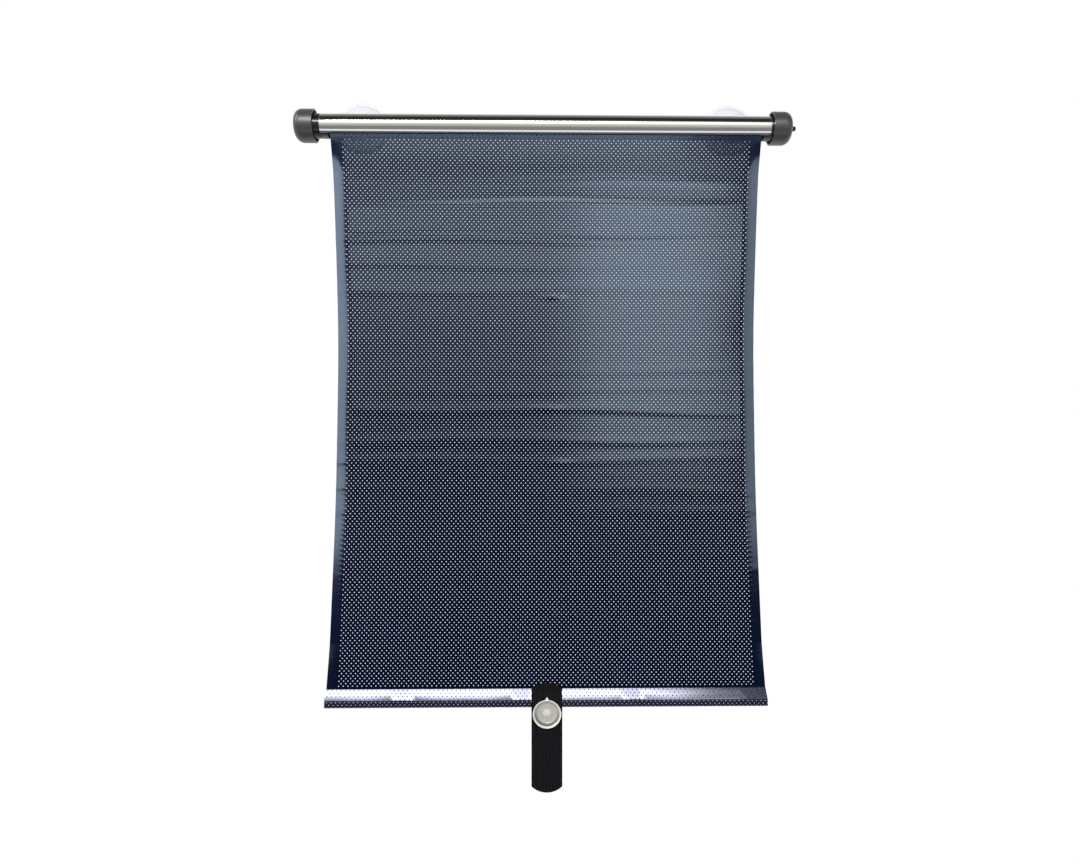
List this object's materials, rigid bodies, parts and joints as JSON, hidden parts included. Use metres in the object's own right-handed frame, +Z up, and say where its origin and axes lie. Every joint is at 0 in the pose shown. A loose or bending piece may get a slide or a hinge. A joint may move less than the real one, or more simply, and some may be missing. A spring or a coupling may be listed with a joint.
{
  "type": "car side window sunshade",
  "caption": "Spring roller sunshade for a car side window: chromed cassette with end caps, perforated film with hem bar and pull strap, and suction cups.",
  "frame": {"origin": "midway between the two top suction cups, on the plane of the window glass that their rims lie on", "axes": "+X along the cassette towards the push button, +Y out of the back into the window glass, +Z up"},
  "size_m": [0.4523, 0.0434, 0.6287],
  "materials": {
    "chrome_shell": "bright chromed sheet, almost mirror smooth",
    "cap_plastic": "satin mid-dark grey moulded plastic",
    "hub_plastic": "glossy black moulded plastic",
    "button_plastic": "black moulded plastic, worn smooth",
    "spring_steel": "drawn wire and plain turned steel",
    "roller_aluminium": "mill finish extrusion",
    "film_vinyl": "dark navy perforated vinyl film with a soft sheen",
    "clear_vinyl": "clear soft vinyl",
    "clip_plastic": "clear hard plastic",
    "webbing": "black woven webbing with cut ends"
  },
  "bodies": {
    "cassette": {"cassette_shell": "chrome_shell", "end_cap_left": "cap_plastic", "end_cap_right": "cap_plastic", "hub_left": "hub_plastic", "hub_right": "hub_plastic", "spring_arbor": "spring_steel", "spring_anchor": "spring_steel", "torsion_spring": "spring_steel", "button_spring": "spring_steel", "cup_clip_left": "clip_plastic", "cup_clip_right": "clip_plastic", "suction_cup_left": "clear_vinyl", "suction_cup_right": "clear_vinyl", "film": "film_vinyl"},
    "roller": {"roller_tube": "roller_aluminium", "roller_bush": "hub_plastic", "spring_driver": "hub_plastic", "lock_plug": "hub_plastic"},
    "button": {"release_button": "button_plastic", "lock_disc": "spring_steel"},
    "hem": {"hem_bar": "spring_steel", "pull_strap": "webbing", "strap_cup": "clear_vinyl"}
  },
  "joints": [
    {"name": "film_draw", "type": "slide", "parent": "cassette", "child": "hem", "axis": [0, 0, 1], "range_m": [0, 0.487], "deforming": ["film"]},
    {"name": "roller_spin", "type": "hinge", "parent": "cassette", "child": "roller", "pos_m": [0, -0.0255, -0.0065], "axis": [-1, 0, 0], "range_deg": [0, 3722]},
    {"name": "button_press", "type": "slide", "parent": "cassette", "child": "button", "axis": [-1, 0, 0], "range_m": [0, 0.002], "stiffness_N_per_m": 200, "springref_m": -0.001}
  ],
  "couplings": [
    {"joint": "roller_spin", "follows": "film_draw", "rad_per_m": 133.33}
  ]
}
